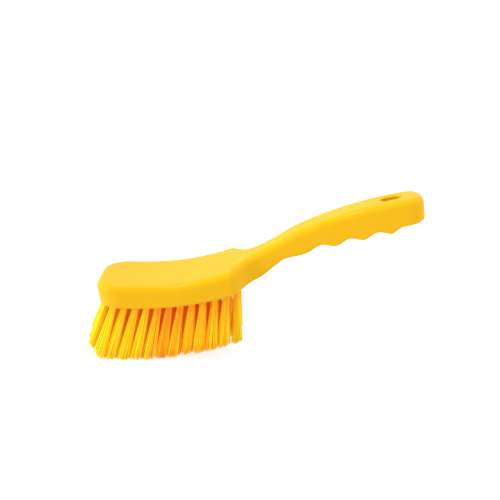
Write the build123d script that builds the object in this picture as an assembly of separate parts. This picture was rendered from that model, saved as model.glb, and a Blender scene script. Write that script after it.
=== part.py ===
from build123d import *
import os
from math import cos, radians, sin, sqrt, tan

# Short-handled scrubbing brush: one moulded block and handle, with bristle tufts
# stapled into blind holes in its underside.
#
# The brush is drawn with x along it (0 at the front of the block, towards the handle),
# y across it and z up from the lowest bristle tips. At the end every piece moves
# together, so that the origin is under the middle of the whole brush. Millimetres.

# ---- Driving dimensions ---------------------------------------------------------

# Tufts
bristle_length = 45.5          # from the block's level underside to the level tips
tuft_columns = 13              # along the brush
tuft_rows = 5                  # across it
column_pitch = 9.2
row_pitch = 12.0
first_column_x = 5.1
first_column_bow = 2.5         # its outer tufts stand this much behind its middle one
first_column_fan = 3.3         # and lean this many degrees further forward
last_column_inset = 1.0        # the last column stands this much closer to the others
front_lean = 18.0              # degrees that the first column leans forward
rear_lean = 1.5                # and the last
side_splay = 4.0               # degrees that the outer rows lean outward
tuft_root_radius = 2.5
tuft_tip_radius = 4.4
root_depth = 9.5               # of a tuft in its hole
hole_radius = 2.6
hole_depth = 10.5
level_tips_start = 0.0         # the tips are level from here to here, and curve up
level_tips_end = 14.0          # at both ends
front_tips_radius = 10.0
outer_set_back = 5.5           # the outer rows' tips start to curve up this much later
front_tips_turn = 88.0         # degrees
rear_tips_drop = 6.0           # the last column is left this much longer than the rest
tips_radius = 325.0
tips_turn = 28.0
trim_spare = 10.0              # a tuft is drawn this much too long, then trimmed
drill_start = 2.0              # the holes are drilled from this far outside the block

# Staples: a short flat wire through the fold of each tuft
staple_length = 5.1
staple_height = 1.6
staple_thickness = 0.5
staple_lift = 2.0              # from the root of the tuft to the middle of the staple

# Block
block_length = 112.5
block_width = 62.0
block_thickness = 19.0
front_corner_radius = 20.0
rear_corner_radius = 6.5
level_length = 33.5            # the front of the block is level, the rest curves up
block_top_radius = 215.0
block_under_radius = 250.0
block_under_turn = 23.0        # degrees
top_edge_radius = 5.0
under_edge_radius = 2.5

# Handle
top_curve_turn = 34.0          # degrees that the top has curved up by the end of the neck
crown_radius = 90.0            # from there it rolls over towards the grip
crown_turn = 8.4
grip_top_radius = 330.0
grip_top_turn = 16.0
end_top_radius = 14.0          # the top drops away just before the end
end_top_turn = 35.0
neck_under_radius = 22.0
neck_under_slope = 42.0        # degrees
neck_under_run = 17.0
neck_x = 126.5
neck_half_width = 11.0
neck_fillet = 18.0
grip_x = 236.0
grip_half_width = 14.3
grip_side_radius = 200.0
end_x = 264.3
end_height = 121.0             # of the middle of the handle's end
end_radius = 13.6
draw_angle = 8.0               # every wall leans back by this much, as the mould draws

# Finger grooves under the grip: crests and hollows about a straight line
groove_count = 4
groove_pitch = 21.8
groove_depth = 3.6             # from crest to hollow
first_hollow_x = 183.0
crest_lead = 10.0              # from a crest to the hollow after it
grip_line_x = 216.0
grip_line_height = 102.5
grip_line_slope = 0.262
grip_end_slope = 12.0          # degrees

# Hanging hole through the end of the grip
hang_x = 238.8
hang_height = 120.0
hang_length = 16.5
hang_width = 9.0
hang_edge_radius = 1.5

# ---- Places worked out from them --------------------------------------------------

under_z = bristle_length
top_z = under_z + block_thickness
middle_row = (tuft_rows - 1) / 2
beyond = 40.0                  # how far a cutting shape runs past what it cuts
stand = (Align.CENTER, Align.CENTER, Align.MIN)

draw_cos = cos(radians(draw_angle))
draw_sin = sin(radians(draw_angle))
plan = Plane(origin=(0, 0, 0), x_dir=(draw_cos, 0, draw_sin), z_dir=(-draw_sin, 0, draw_cos))


def along(x, z):
    """The plan's own length coordinate of a place at x and height z."""
    return x * draw_cos + z * draw_sin


def rise(x, level_end, radius):
    """Height at x of a line that is level up to level_end and then curves up."""
    run = max(0.0, x - level_end)
    return radius - sqrt(radius**2 - run**2)


def grip_line(x):
    """Height of the line that the finger grooves swing about."""
    return grip_line_height + grip_line_slope * (x - grip_line_x)


# ---- Block and handle -------------------------------------------------------------


def groove_points():
    """Crest, hollow, crest, hollow ... along the underside of the grip."""
    points = []
    for i in range(groove_count):
        hollow = first_hollow_x + i * groove_pitch
        crest = hollow - crest_lead
        points.append((crest, grip_line(crest) - groove_depth / 2))
        points.append((hollow, grip_line(hollow) + groove_depth / 2))
    return points


def top_line():
    """The top of the brush from its front to beyond its end."""
    level = Line((0, top_z), (level_length, top_z))
    curve = JernArc(level @ 1, level % 1, block_top_radius, top_curve_turn)
    crown = JernArc(curve @ 1, curve % 1, crown_radius, -crown_turn)
    grip = JernArc(crown @ 1, crown % 1, grip_top_radius, -grip_top_turn)
    drop = JernArc(grip @ 1, grip % 1, end_top_radius, -end_top_turn)
    end = Line(drop @ 1, (drop @ 1) + (drop % 1) * beyond)
    return [level, curve, crown, grip, drop, end]


def under_line():
    """The underside of the brush from its front to beyond its end."""
    level = Line((0, under_z), (level_length, under_z))
    curve = JernArc(level @ 1, level % 1, block_under_radius, block_under_turn)
    turn = neck_under_slope - block_under_turn
    neck = JernArc(curve @ 1, curve % 1, neck_under_radius, turn)
    run = Line(neck @ 1, (neck @ 1) + (neck % 1) * neck_under_run)
    slope = radians(grip_end_slope)
    grooves = Spline(
        [run @ 1, *groove_points()], tangents=[run % 1, (cos(slope), sin(slope))]
    )
    end = Line(grooves @ 1, (grooves @ 1) + (grooves % 1) * beyond)
    return [level, curve, neck, run, grooves, end]


def side_form():
    """The side view of the brush, drawn out across it."""
    top, under = top_line(), under_line()
    front = Line(under[0] @ 0 - (beyond, 0), top[0] @ 0 - (beyond, 0))
    top_front = Line(front @ 1, top[0] @ 0)
    under_front = Line(front @ 0, under[0] @ 0)
    back = Line(top[-1] @ 1, under[-1] @ 1)
    outline = make_face([front, top_front, *top, back, *under, under_front])
    return extrude(Plane.XZ.offset(-block_width) * outline, amount=2 * block_width)


def plan_form():
    """The brush seen from above, drawn out along the way the mould draws."""
    middle_z = (under_z + top_z) / 2
    shoulder_z = middle_z + rise(block_length, level_length, block_top_radius)
    front = along(0, middle_z)
    shoulder = along(block_length, shoulder_z)
    neck = along(neck_x, shoulder_z + (neck_x - block_length) * tan(radians(block_under_turn)))
    grip = along(grip_x, end_height)
    end = along(end_x, end_height)
    half = [
        (front, block_width / 2, front_corner_radius),
        (shoulder, block_width / 2, rear_corner_radius),
        (neck, neck_half_width, neck_fillet),
        (grip, grip_half_width, grip_side_radius),
        (end, grip_half_width, end_radius),
    ]
    outline = half + [(x, -y, r) for x, y, r in reversed(half)]
    corners = [(x, y) for x, y, _ in outline]
    rounds = [r for _, _, r in outline]
    face = make_face(FilletPolyline(*corners, radius=rounds, close=True))
    return extrude(plan * face, amount=end_x)


def rim(form, upper):
    """The edges that the walls share with the top, or with the underside."""
    square = 0.02
    walls = [f for f in form.faces() if abs(f.normal_at().dot(plan.z_dir)) < square]
    caps = [f for f in form.faces() if f not in walls and (f.normal_at().Z > 0) == upper]
    wall_edges = ShapeList(walls).edges()
    return [e for e in ShapeList(caps).edges() if any(e.is_same(w) for w in wall_edges)]


def hang_hole():
    """An oblong hole with rounded ends, square to the walls."""
    middle = Location((along(hang_x, hang_height), 0, 0))
    slot = SlotOverall(hang_length, hang_width)
    return extrude(plan * middle * slot, amount=2 * hang_height)


def hang_rims(form):
    """The edges of the hanging hole at the top and the underside."""
    middle = along(hang_x, hang_height)
    reach = hang_width / 2 + hang_edge_radius
    rims = []
    for edge in form.edges():
        x, y, _ = plan.to_local_coords(edge.center())
        upright = abs(edge.tangent_at(0.5).dot(plan.z_dir)) > 0.9
        if abs(x - middle) < hang_length / 2 and abs(y) < reach and not upright:
            rims.append(edge)
    return rims


def brush_body():
    """The moulding: level block curving up into the handle, with its blind holes."""
    body = side_form() & plan_form()
    body = fillet(rim(body, True), top_edge_radius)
    body = fillet(rim(body, False), under_edge_radius)
    body -= hang_hole()
    body = fillet(hang_rims(body), hang_edge_radius)
    drill = Pos(0, 0, -hole_depth) * Cylinder(hole_radius, hole_depth + drill_start, align=stand)
    return body - [frame * drill for frame in tuft_frames().values()]


# ---- Tufts and their staples --------------------------------------------------------


def tuft_frame(column, row):
    """A plane at the mouth of a tuft's hole, with its z along the tuft, out of the block."""
    x = first_column_x + column * column_pitch
    lean = front_lean + (rear_lean - front_lean) * column / (tuft_columns - 1)
    if column == 0:
        x += first_column_bow * abs(row - middle_row)
        lean += first_column_fan * abs(row - middle_row)
    if column == tuft_columns - 1:
        x -= last_column_inset
    y = (row - middle_row) * row_pitch
    z = under_z + rise(x, level_length, block_under_radius)
    splay = side_splay * (row - middle_row) / middle_row
    way = Vector(-tan(radians(lean)), tan(radians(splay)), -1)
    return Plane(origin=(x, y, z), x_dir=(0, 1, tan(radians(splay))), z_dir=way)


def tuft_frames():
    """Every tuft's frame by (column, row), both counted from 1. The end columns are short."""
    frames = {}
    for column in range(tuft_columns):
        short = column in (0, tuft_columns - 1)
        for row in range(tuft_rows):
            if not (short and row in (0, tuft_rows - 1)):
                frames[column + 1, row + 1] = tuft_frame(column, row)
    return frames


def tips_form(set_back, drop):
    """Everything over the trimmed surface of the tips, its nose set back, and all let down."""
    level = Line((level_tips_start + set_back, 0), (level_tips_end, 0))
    curve = JernArc(level @ 1, level % 1, tips_radius, tips_turn)
    nose = JernArc(level @ 0, (-1, 0), front_tips_radius, -front_tips_turn)
    over_z = top_z + beyond
    back = Line(curve @ 1, ((curve @ 1).X, over_z))
    over = Line(back @ 1, ((nose @ 1).X, over_z))
    front = Line(over @ 1, nose @ 1)
    outline = make_face([nose, level, curve, back, over, front])
    return Pos(0, 0, -drop) * extrude(Plane.XZ.offset(-block_width) * outline, amount=2 * block_width)


def tuft():
    """A bundle of folded filaments: a plug in its hole, then a slowly widening brush."""
    length = bristle_length + trim_spare
    widening = (tuft_tip_radius - tuft_root_radius) * length / bristle_length
    plug = Pos(0, 0, -root_depth) * Cylinder(tuft_root_radius, root_depth, align=stand)
    brush = Cone(tuft_root_radius, tuft_root_radius + widening, length, align=stand)
    return plug + brush - staple()


def staple():
    """The flat wire that holds a tuft's fold down in its hole."""
    return Pos(0, 0, staple_lift - root_depth) * Box(staple_length, staple_thickness, staple_height)


# ---- Put together and written out ---------------------------------------------------


def node_name(column, row):
    """One node for each tuft, except that the three of an end column share one."""
    if column == 1:
        return "front_end_tufts"
    if column == tuft_columns:
        return "rear_end_tufts"
    return f"tuft_column{column:02d}_row{row}"


def nodes():
    """Every piece of the brush by the name of its node."""
    bundle, wire = tuft(), staple()
    inner_tips = tips_form(0, 0)
    outer_tips = tips_form(outer_set_back, 0)
    rear_tips = tips_form(0, rear_tips_drop)
    pieces = {"brush_body": [brush_body()], "tuft_staples": []}
    for (column, row), frame in tuft_frames().items():
        trim = outer_tips if row in (1, tuft_rows) else inner_tips
        if column == tuft_columns:
            trim = rear_tips
        pieces.setdefault(node_name(column, row), []).append((frame * bundle) & trim)
        pieces["tuft_staples"].append(frame * wire)
    return {name: Compound([s for p in shapes for s in p.solids()]) for name, shapes in pieces.items()}


os.makedirs("parts", exist_ok=True)
pieces = nodes()
box = Compound(list(pieces.values())).bounding_box()
middle = Pos(-(box.min.X + box.max.X) / 2, -(box.min.Y + box.max.Y) / 2, -box.min.Z)
print("size", box.size, "moved by", middle.position)
for name, piece in pieces.items():
    export_step(middle * piece, f"parts/{name}.step")
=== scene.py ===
import math
import random

import bmesh
import bpy
import numpy as np
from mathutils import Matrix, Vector


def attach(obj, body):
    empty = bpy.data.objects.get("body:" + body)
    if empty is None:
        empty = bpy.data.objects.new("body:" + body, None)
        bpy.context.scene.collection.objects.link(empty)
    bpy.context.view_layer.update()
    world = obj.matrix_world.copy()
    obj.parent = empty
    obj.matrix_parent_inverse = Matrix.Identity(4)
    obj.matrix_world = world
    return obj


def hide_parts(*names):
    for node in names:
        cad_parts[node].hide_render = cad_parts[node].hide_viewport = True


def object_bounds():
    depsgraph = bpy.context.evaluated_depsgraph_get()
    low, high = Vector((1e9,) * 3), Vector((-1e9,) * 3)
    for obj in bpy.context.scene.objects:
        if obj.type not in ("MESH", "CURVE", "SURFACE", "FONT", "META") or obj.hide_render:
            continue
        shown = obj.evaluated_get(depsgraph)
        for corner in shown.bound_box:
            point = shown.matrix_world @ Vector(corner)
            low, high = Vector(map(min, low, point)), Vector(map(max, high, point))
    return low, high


# Looks of a short-handled scrubbing brush: the moulded block and handle come from the CAD
# frame, and each tuft is a bundle of separate filaments built on its CAD solid's axis.
# Metres and degrees, in the frame's own axes.

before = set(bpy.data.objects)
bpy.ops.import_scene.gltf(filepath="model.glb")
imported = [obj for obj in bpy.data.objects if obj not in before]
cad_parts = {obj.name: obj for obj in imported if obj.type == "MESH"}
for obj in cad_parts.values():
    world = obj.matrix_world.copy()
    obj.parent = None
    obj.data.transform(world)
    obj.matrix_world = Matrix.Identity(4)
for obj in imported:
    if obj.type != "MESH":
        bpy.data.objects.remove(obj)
cad_low, cad_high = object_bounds()

# ---- Driving values -------------------------------------------------------------------

# Camera
target = Vector((-0.0026, 0.0, 0.0865))   # what it looks at
camera_distance = 0.70
camera_azimuth = 2.0
camera_elevation = 21.0
field_of_view = 32.63

# Filaments
filaments_per_tuft = 88
filament_radius = 0.0003
filament_sides = 6
filament_stations = 6          # rings along a filament below the mouth of its hole
usual_length = 0.045           # of a filament below the mouth of its hole
packed_radius = 0.0023         # of a tuft's filament centres in its hole
packing_disorder = 0.35        # of the distance between them
tip_spread = 2.45              # times wider at the tips than in the hole
end_tip_spread = 2.05          # the same, in the columns at the two ends
spread_jitter = 0.09           # of that widening
tuft_tilt = 0.018              # how far a tuft's direction strays, as a slope
bend = 0.0006                  # the most that an ordinary filament bows sideways
stray_share = 0.02             # filaments that stand out from their bundle
stray_bend = 0.0013            # the most that one of those does
ragged = 0.0006                # how unevenly the tips are cut
tones = 4                      # slightly different batches of filament
darkest_tone = 0.73
tone_step = 0.085

# Filament colour: its green by how lemon it is, from orange at 0 to lemon at 1
greens = [(0.0, 0.31), (0.3, 0.48), (0.7, 0.66), (1.0, 0.83)]
lemon_jitter = 0.24            # from filament to filament

# Painted light and shade: how lemon a filament is at the mouth of its hole, by the hole's x,
# lemon in the end columns that catch the side lights and deep orange in the middle columns that
# lie in shade
painted_light_and_shade_by_x = [(-0.12, 0.65), (-0.11, 0.4), (-0.076, 0.35), (-0.068, -0.12),
              (-0.057, -0.12), (-0.049, 0.1), (-0.02, 0.2), (-0.01, 0.6)]

# Painted shade along a filament: how much more lemon it is further down, from the mouth of its
# hole at 0 to its tip at 1, deep orange near the mouth in the block's shade and less lemon again
# at the shaded tips
painted_shade_along = [(0.0, 0.0), (0.7, 0.65), (0.9, 0.6), (1.0, 0.35)]

# Painted glow: a faint orange emission that stands in for light passed on from filament to
# filament
painted_glow = (1.0, 0.22, 0.0, 1.0)
painted_glow_strength = 0.11

seed = 7

# Light
surroundings = 1.0
floor_light = 0.8
lights = {                     # each one's place, its width and its strength
    "left_light": ((-1.8, -0.3, 0.6), 50.0, 2.5),
    "right_light": ((1.6, 0.1, 0.9), 50.0, 0.7),
    "top_light": ((0.0, 0.2, 2.0), 60.0, 0.65),
    "spark_light": ((-0.63, -0.59, 1.8), 5.0, 0.45),
}


# ---- Node materials -------------------------------------------------------------------


def new_material(name):
    """An empty node material: its nodes, its links and its shader."""
    material = bpy.data.materials.new(name)
    material.use_nodes = True
    nodes = material.node_tree.nodes
    links = material.node_tree.links
    return material, nodes, links, nodes["Principled BSDF"]


def noise(nodes, links, scale, detail=3.0, stretch=(1.0, 1.0, 1.0)):
    """Noise in the object's own metres, scale features to the metre, stretched by axis."""
    place = nodes.new("ShaderNodeTexCoord")
    mapping = nodes.new("ShaderNodeMapping")
    mapping.inputs["Scale"].default_value = stretch
    texture = nodes.new("ShaderNodeTexNoise")
    texture.inputs["Scale"].default_value = scale
    texture.inputs["Detail"].default_value = detail
    links.new(place.outputs["Object"], mapping.inputs["Vector"])
    links.new(mapping.outputs["Vector"], texture.inputs["Vector"])
    return texture.outputs["Fac"]


def ramp(nodes, links, value, stops):
    """Colours from a value, by (position, colour) stops."""
    node = nodes.new("ShaderNodeValToRGB")
    first, last = node.color_ramp.elements
    first.position, first.color = stops[0][0], (*stops[0][1], 1.0)
    last.position, last.color = stops[-1][0], (*stops[-1][1], 1.0)
    for position, color in stops[1:-1]:
        node.color_ramp.elements.new(position).color = (*color, 1.0)
    links.new(value, node.inputs["Fac"])
    return node.outputs["Color"]


def spread(nodes, links, value, low, high):
    """A value from 0 to 1 stretched to run from low to high."""
    node = nodes.new("ShaderNodeMapRange")
    node.inputs["To Min"].default_value = low
    node.inputs["To Max"].default_value = high
    links.new(value, node.inputs["Value"])
    return node.outputs["Result"]


def bump(nodes, links, shader, height, distance, strength):
    """Relief of that height map, distance metres deep."""
    node = nodes.new("ShaderNodeBump")
    node.inputs["Strength"].default_value = strength
    node.inputs["Distance"].default_value = distance
    links.new(height, node.inputs["Height"])
    links.new(node.outputs["Normal"], shader.inputs["Normal"])


def moulded_plastic():
    """Smooth bright yellow moulding, softly glossy, with faint flow marks."""
    material, nodes, links, shader = new_material("moulded_plastic")
    flow = noise(nodes, links, 22.0, stretch=(0.5, 1.0, 1.0))
    tint = ramp(nodes, links, flow, [(0.3, (0.68, 0.367, 0.003)), (0.7, (0.71, 0.391, 0.005))])
    links.new(tint, shader.inputs["Base Color"])
    handled = noise(nodes, links, 60.0, detail=5.0)
    links.new(spread(nodes, links, handled, 0.26, 0.42), shader.inputs["Roughness"])
    skin = noise(nodes, links, 900.0, detail=2.0)
    bump(nodes, links, shader, skin, 0.00005, 0.25)
    shader.inputs["IOR"].default_value = 1.49
    shader.inputs["Specular IOR Level"].default_value = 0.0
    shader.inputs["Sheen Weight"].default_value = 0.23
    shader.inputs["Sheen Roughness"].default_value = 0.35
    shader.inputs["Coat Weight"].default_value = 0.15
    shader.inputs["Coat Roughness"].default_value = 0.1
    return material


def filament_plastic(number, brightness):
    """Extruded filament, deep orange to lemon by its lemon value: painted shade deep orange near
    the roots and in the middle columns, painted light lemon further down, less lemon again at
    the tips.
    """
    material, nodes, links, shader = new_material(f"filament_plastic_{number}")
    drawn = noise(nodes, links, 90.0, stretch=(1.0, 1.0, 0.25))
    place = nodes.new("ShaderNodeAttribute")
    place.attribute_name = "lemon"
    uneven = nodes.new("ShaderNodeMath")
    uneven.operation = "ADD"
    links.new(place.outputs["Fac"], uneven.inputs[0])
    links.new(spread(nodes, links, drawn, -0.12, 0.12), uneven.inputs[1])
    stops = [(at, (brightness, green * brightness, 0.008)) for at, green in greens]
    links.new(ramp(nodes, links, uneven.outputs["Value"], stops), shader.inputs["Base Color"])
    links.new(spread(nodes, links, drawn, 0.30, 0.45), shader.inputs["Roughness"])
    lines = noise(nodes, links, 2500.0, detail=2.0, stretch=(1.0, 1.0, 0.05))
    bump(nodes, links, shader, lines, 0.00002, 0.3)
    shader.inputs["Specular IOR Level"].default_value = 0.15
    # painted glow, for light passed on through the filaments
    shader.inputs["Emission Color"].default_value = painted_glow
    shader.inputs["Emission Strength"].default_value = painted_glow_strength
    return material


def staple_steel():
    """Drawn flat wire with fine marks along it."""
    material, nodes, links, shader = new_material("staple_steel")
    drawn = noise(nodes, links, 1800.0, stretch=(1.0, 0.1, 1.0))
    tint = ramp(nodes, links, drawn, [(0.3, (0.50, 0.50, 0.51)), (0.7, (0.62, 0.62, 0.62))])
    links.new(tint, shader.inputs["Base Color"])
    links.new(spread(nodes, links, drawn, 0.28, 0.45), shader.inputs["Roughness"])
    bump(nodes, links, shader, drawn, 0.00002, 0.3)
    shader.inputs["Metallic"].default_value = 1.0
    return material


def dress(node, material):
    """Gives a CAD node a better material."""
    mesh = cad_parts[node].data
    mesh.materials.clear()
    mesh.materials.append(material)


# ---- Tufts, read from their CAD solids ------------------------------------------------


def solids_of(node):
    """The vertices of each separate solid of a CAD node."""
    same_place = 1e-6
    work = bmesh.new()
    work.from_mesh(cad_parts[node].data)
    bmesh.ops.remove_doubles(work, verts=work.verts, dist=same_place)
    unseen = set(work.verts)
    solids = []
    while unseen:
        to_follow = [unseen.pop()]
        found = list(to_follow)
        while to_follow:
            for edge in to_follow.pop().link_edges:
                for vertex in edge.verts:
                    if vertex in unseen:
                        unseen.remove(vertex)
                        to_follow.append(vertex)
                        found.append(vertex)
        solids.append(np.array([v.co for v in found]))
    work.free()
    return sorted(solids, key=lambda points: points[:, 1].mean())


def tuft_axis(points):
    """The centres of a tuft's root and of the mouth of its hole, from its solid's rings."""
    ring = 0.0006              # points this close in depth are of one ring
    below_staple = 0.005       # the next ring under this depth is the mouth's
    middle = points.mean(axis=0)
    way = np.linalg.svd(points - middle, full_matrices=False)[2][0]
    way *= -np.sign(way[2])
    depth = (points - middle) @ way
    depth -= depth.min()
    mouth_depth = depth[depth > below_staple].min()
    root = points[depth < ring].mean(axis=0)
    mouth = points[abs(depth - mouth_depth) < ring].mean(axis=0)
    return root, mouth


def trim_line(node):
    """The heights that a node's tips are trimmed to, as (x, z) points in order of x."""
    facing_down = -0.45
    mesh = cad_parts[node].data
    half_way = sum(v.co.z for v in mesh.vertices) / len(mesh.vertices)
    cut = []
    for face in mesh.polygons:
        if face.normal.z < facing_down and face.center.z < half_way:
            cut.extend((mesh.vertices[i].co.x, mesh.vertices[i].co.z) for i in face.vertices)
    cut = np.array(sorted(cut))
    return cut[:, 0], cut[:, 1]


# ---- Filaments ------------------------------------------------------------------------


def packed_discs(count, rng):
    """Places of filaments packed evenly in a disc of radius 1, slightly disordered."""
    golden = math.pi * (3.0 - math.sqrt(5.0))
    loose = packing_disorder / math.sqrt(count)
    places = []
    for i in range(count):
        radius = math.sqrt((i + 0.5) / count)
        angle = i * golden
        x = radius * math.cos(angle) + rng.uniform(-loose, loose)
        y = radius * math.sin(angle) + rng.uniform(-loose, loose)
        places.append((x, y))
    return places


def across(way):
    """Two directions square to way and to each other."""
    side = np.cross(way, (0.0, 1.0, 0.0))
    side /= np.linalg.norm(side)
    return side, np.cross(side, way)


def trimmed_end(start, way, trim):
    """Where a straight filament from start meets the trimmed surface of the tips, or else
    the foremost plane of the brush."""
    better_guesses = 6
    end = start + way * usual_length
    for _ in range(better_guesses):
        height = np.interp(end[0], *trim)
        end = start + way * (start[2] - height) / -way[2]
    foremost = cad_low[0]
    if end[0] < foremost:
        end = start + (end - start) * (start[0] - foremost) / (start[0] - end[0])
    return end


def filament_path(root, mouth, tilt, place, spread_to, trim, rng):
    """Points along one filament, from the bottom of its hole to its cut end."""
    way = mouth - root
    way /= np.linalg.norm(way)
    side, other = across(way)
    offset = (side * place[0] + other * place[1]) * packed_radius
    widening = (spread_to - 1.0) * (1.0 + rng.gauss(0.0, spread_jitter))
    visible = mouth[2] - np.interp(mouth[0], *trim)
    aim = way + side * tilt[0] + other * tilt[1] + offset * widening / visible
    start = mouth + offset
    end = trimmed_end(start, aim / np.linalg.norm(aim), trim)
    end = end + (start - end) * rng.uniform(0.0, ragged) / np.linalg.norm(start - end)
    bow = stray_bend if rng.random() < stray_share else bend
    turn = rng.uniform(0.0, 2.0 * math.pi)
    sideways = (side * math.cos(turn) + other * math.sin(turn)) * bow * rng.random()
    turns_back = 0.4           # how far along it bows back across its own line
    path = [root + offset]
    for i in range(filament_stations):
        t = i / (filament_stations - 1)
        path.append(start + (end - start) * t + sideways * t * (t - turns_back))
    return np.array(path), side, other


def bundle(name, root, mouth, trim, materials, rng):
    """One tuft: a mesh of closed tubes, one for each filament."""
    rim = [2.0 * math.pi * i / filament_sides for i in range(filament_sides)]
    tilt = (rng.gauss(0.0, tuft_tilt), rng.gauss(0.0, tuft_tilt))
    spread_to = end_tip_spread if "end" in name else tip_spread
    # painted light and shade, by the column's x
    painted_lemon_by_x = np.interp(mouth[0], *zip(*painted_light_and_shade_by_x))
    vertices, faces, slots, lemon = [], [], [], []
    for place in packed_discs(filaments_per_tuft, rng):
        path, side, other = filament_path(root, mouth, tilt, place, spread_to, trim, rng)
        ring = [side * math.cos(a) + other * math.sin(a) for a in rim]
        first = len(vertices)
        tone = rng.randrange(len(materials))
        # each filament's own tone added to the painted light and shade
        lemon_with_painted_light = painted_lemon_by_x + rng.gauss(0.0, lemon_jitter)
        for station, point in enumerate(path):
            vertices.extend(point + spoke * filament_radius for spoke in ring)
            along = max(0, station - 1) / (filament_stations - 1)
            # painted shade along the filament, on top of its painted light and shade by x
            lemon.extend([lemon_with_painted_light + np.interp(along, *zip(*painted_shade_along))] * filament_sides)
        for station in range(len(path) - 1):
            low = first + station * filament_sides
            high = low + filament_sides
            for i in range(filament_sides):
                after = (i + 1) % filament_sides
                faces.append((low + i, low + after, high + after, high + i))
                slots.append(tone)
        last = first + (len(path) - 1) * filament_sides
        faces.append([first + i for i in reversed(range(filament_sides))])
        faces.append([last + i for i in range(filament_sides)])
        slots.extend([tone, tone])
    mesh = bpy.data.meshes.new(name)
    mesh.from_pydata([tuple(v) for v in vertices], [], faces)
    for material in materials:
        mesh.materials.append(material)
    mesh.polygons.foreach_set("material_index", slots)
    mesh.polygons.foreach_set("use_smooth", [len(p.vertices) == 4 for p in mesh.polygons])
    # the lemon values carry painted light and shade besides each filament's own tone
    mesh.attributes.new("lemon", "FLOAT", "POINT").data.foreach_set("value", lemon)
    mesh.update()
    piece = bpy.data.objects.new(name, mesh)
    bpy.context.scene.collection.objects.link(piece)
    return piece


def build_tufts(materials):
    """A bundle of filaments in place of every tuft's CAD solid."""
    rng = random.Random(seed)
    nodes = [n for n in sorted(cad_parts) if "tuft" in n and n != "tuft_staples"]
    for node in nodes:
        trim = trim_line(node)
        for number, points in enumerate(solids_of(node), 1):
            root, mouth = tuft_axis(points)
            piece = bundle(f"bristles_{node}_{number}", root, mouth, trim, materials, rng)
            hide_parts(node)
            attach(piece, "root")


# ---- Floor, light and camera ----------------------------------------------------------


def pale_floor():
    """A wide pale floor under the tips, lit through from below like a light table."""
    half = 6.0                 # of its width, wide enough to reach past every view
    mesh = bpy.data.meshes.new("floor")
    corners = [(-half, -half, 0), (half, -half, 0), (half, half, 0), (-half, half, 0)]
    mesh.from_pydata(corners, [], [(0, 1, 2, 3)])
    material, nodes, links, shader = new_material("floor_paper")
    fibre = noise(nodes, links, 30.0)
    tint = ramp(nodes, links, fibre, [(0.3, (0.25, 0.25, 0.25)), (0.7, (0.27, 0.27, 0.27))])
    links.new(tint, shader.inputs["Base Color"])
    shader.inputs["Roughness"].default_value = 0.9
    shader.inputs["Emission Color"].default_value = (1.0, 1.0, 1.0, 1.0)
    shader.inputs["Emission Strength"].default_value = floor_light
    mesh.materials.append(material)
    floor = bpy.data.objects.new("floor", mesh)
    bpy.context.scene.collection.objects.link(floor)


def soft_light(name, place, width, strength):
    """A distant light, width degrees across, that shines from a place towards the target."""
    light = bpy.data.lights.new(name, "SUN")
    light.angle = math.radians(width)
    light.energy = strength
    lamp = bpy.data.objects.new(name, light)
    lamp.location = place
    lamp.rotation_mode = "QUATERNION"
    lamp.rotation_quaternion = (target - lamp.location).to_track_quat("-Z", "Y")
    bpy.context.scene.collection.objects.link(lamp)


def studio_light():
    """White surroundings, soft lights from the left, right and top, and one for highlights."""
    world = bpy.data.worlds.new("studio")
    world.use_nodes = True
    background = world.node_tree.nodes["Background"]
    background.inputs["Color"].default_value = (1.0, 1.0, 1.0, 1.0)
    background.inputs["Strength"].default_value = surroundings
    bpy.context.scene.world = world
    for name, (place, width, strength) in lights.items():
        soft_light(name, place, width, strength)


def camera():
    """The photograph's angle."""
    a, e = math.radians(camera_azimuth), math.radians(camera_elevation)
    back = Vector((math.sin(a) * math.cos(e), -math.cos(a) * math.cos(e), math.sin(e)))
    data = bpy.data.cameras.new("camera")
    data.sensor_width = 36.0
    data.angle = math.radians(field_of_view)
    data.clip_start = 0.01
    view = bpy.data.objects.new("camera", data)
    view.location = target + back * camera_distance
    view.rotation_mode = "QUATERNION"
    view.rotation_quaternion = (-back).to_track_quat("-Z", "Y")
    bpy.context.scene.collection.objects.link(view)
    bpy.context.scene.camera = view


# ---- The scene ------------------------------------------------------------------------

dress("brush_body", moulded_plastic())
dress("tuft_staples", staple_steel())
build_tufts([filament_plastic(i + 1, darkest_tone + tone_step * i) for i in range(tones)])
pale_floor()
studio_light()
camera()
bpy.context.scene.view_settings.view_transform = "Standard"
bpy.context.scene.cycles.max_bounces = 40
bpy.context.scene.cycles.diffuse_bounces = 32
